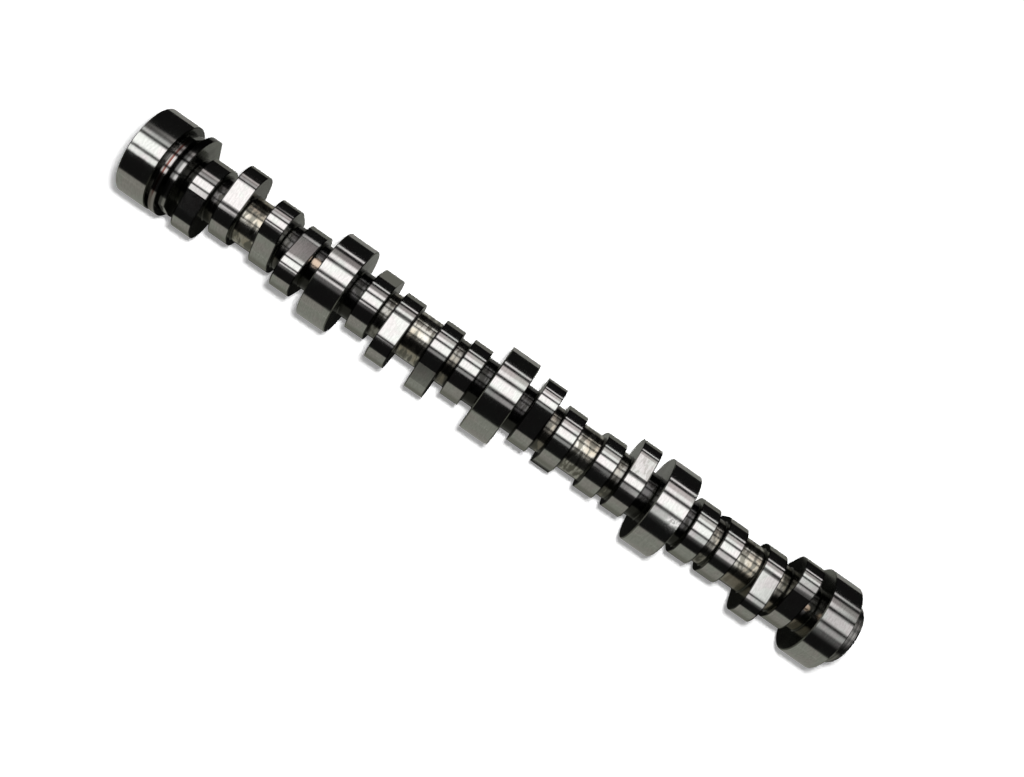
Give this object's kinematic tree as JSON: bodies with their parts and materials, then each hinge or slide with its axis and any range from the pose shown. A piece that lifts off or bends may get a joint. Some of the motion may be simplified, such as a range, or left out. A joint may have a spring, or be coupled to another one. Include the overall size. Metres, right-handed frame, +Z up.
{
  "type": "camshaft",
  "caption": "Camshaft of a V8 pushrod engine: ground steel shaft with bearing journals, paired cam lobes and sensor rings.",
  "frame": {"origin": "on the shaft axis, in the front face of the front journal, where the thrust plate runs", "axes": "+X along the shaft axis, out of the front end; +Z up with the shaft lying on its journals"},
  "size_m": [0.4837, 0.055, 0.055],
  "materials": {
    "ground_steel": "polished"
  },
  "bodies": {
    "root": {"camshaft": "ground_steel"}
  },
  "joints": []
}
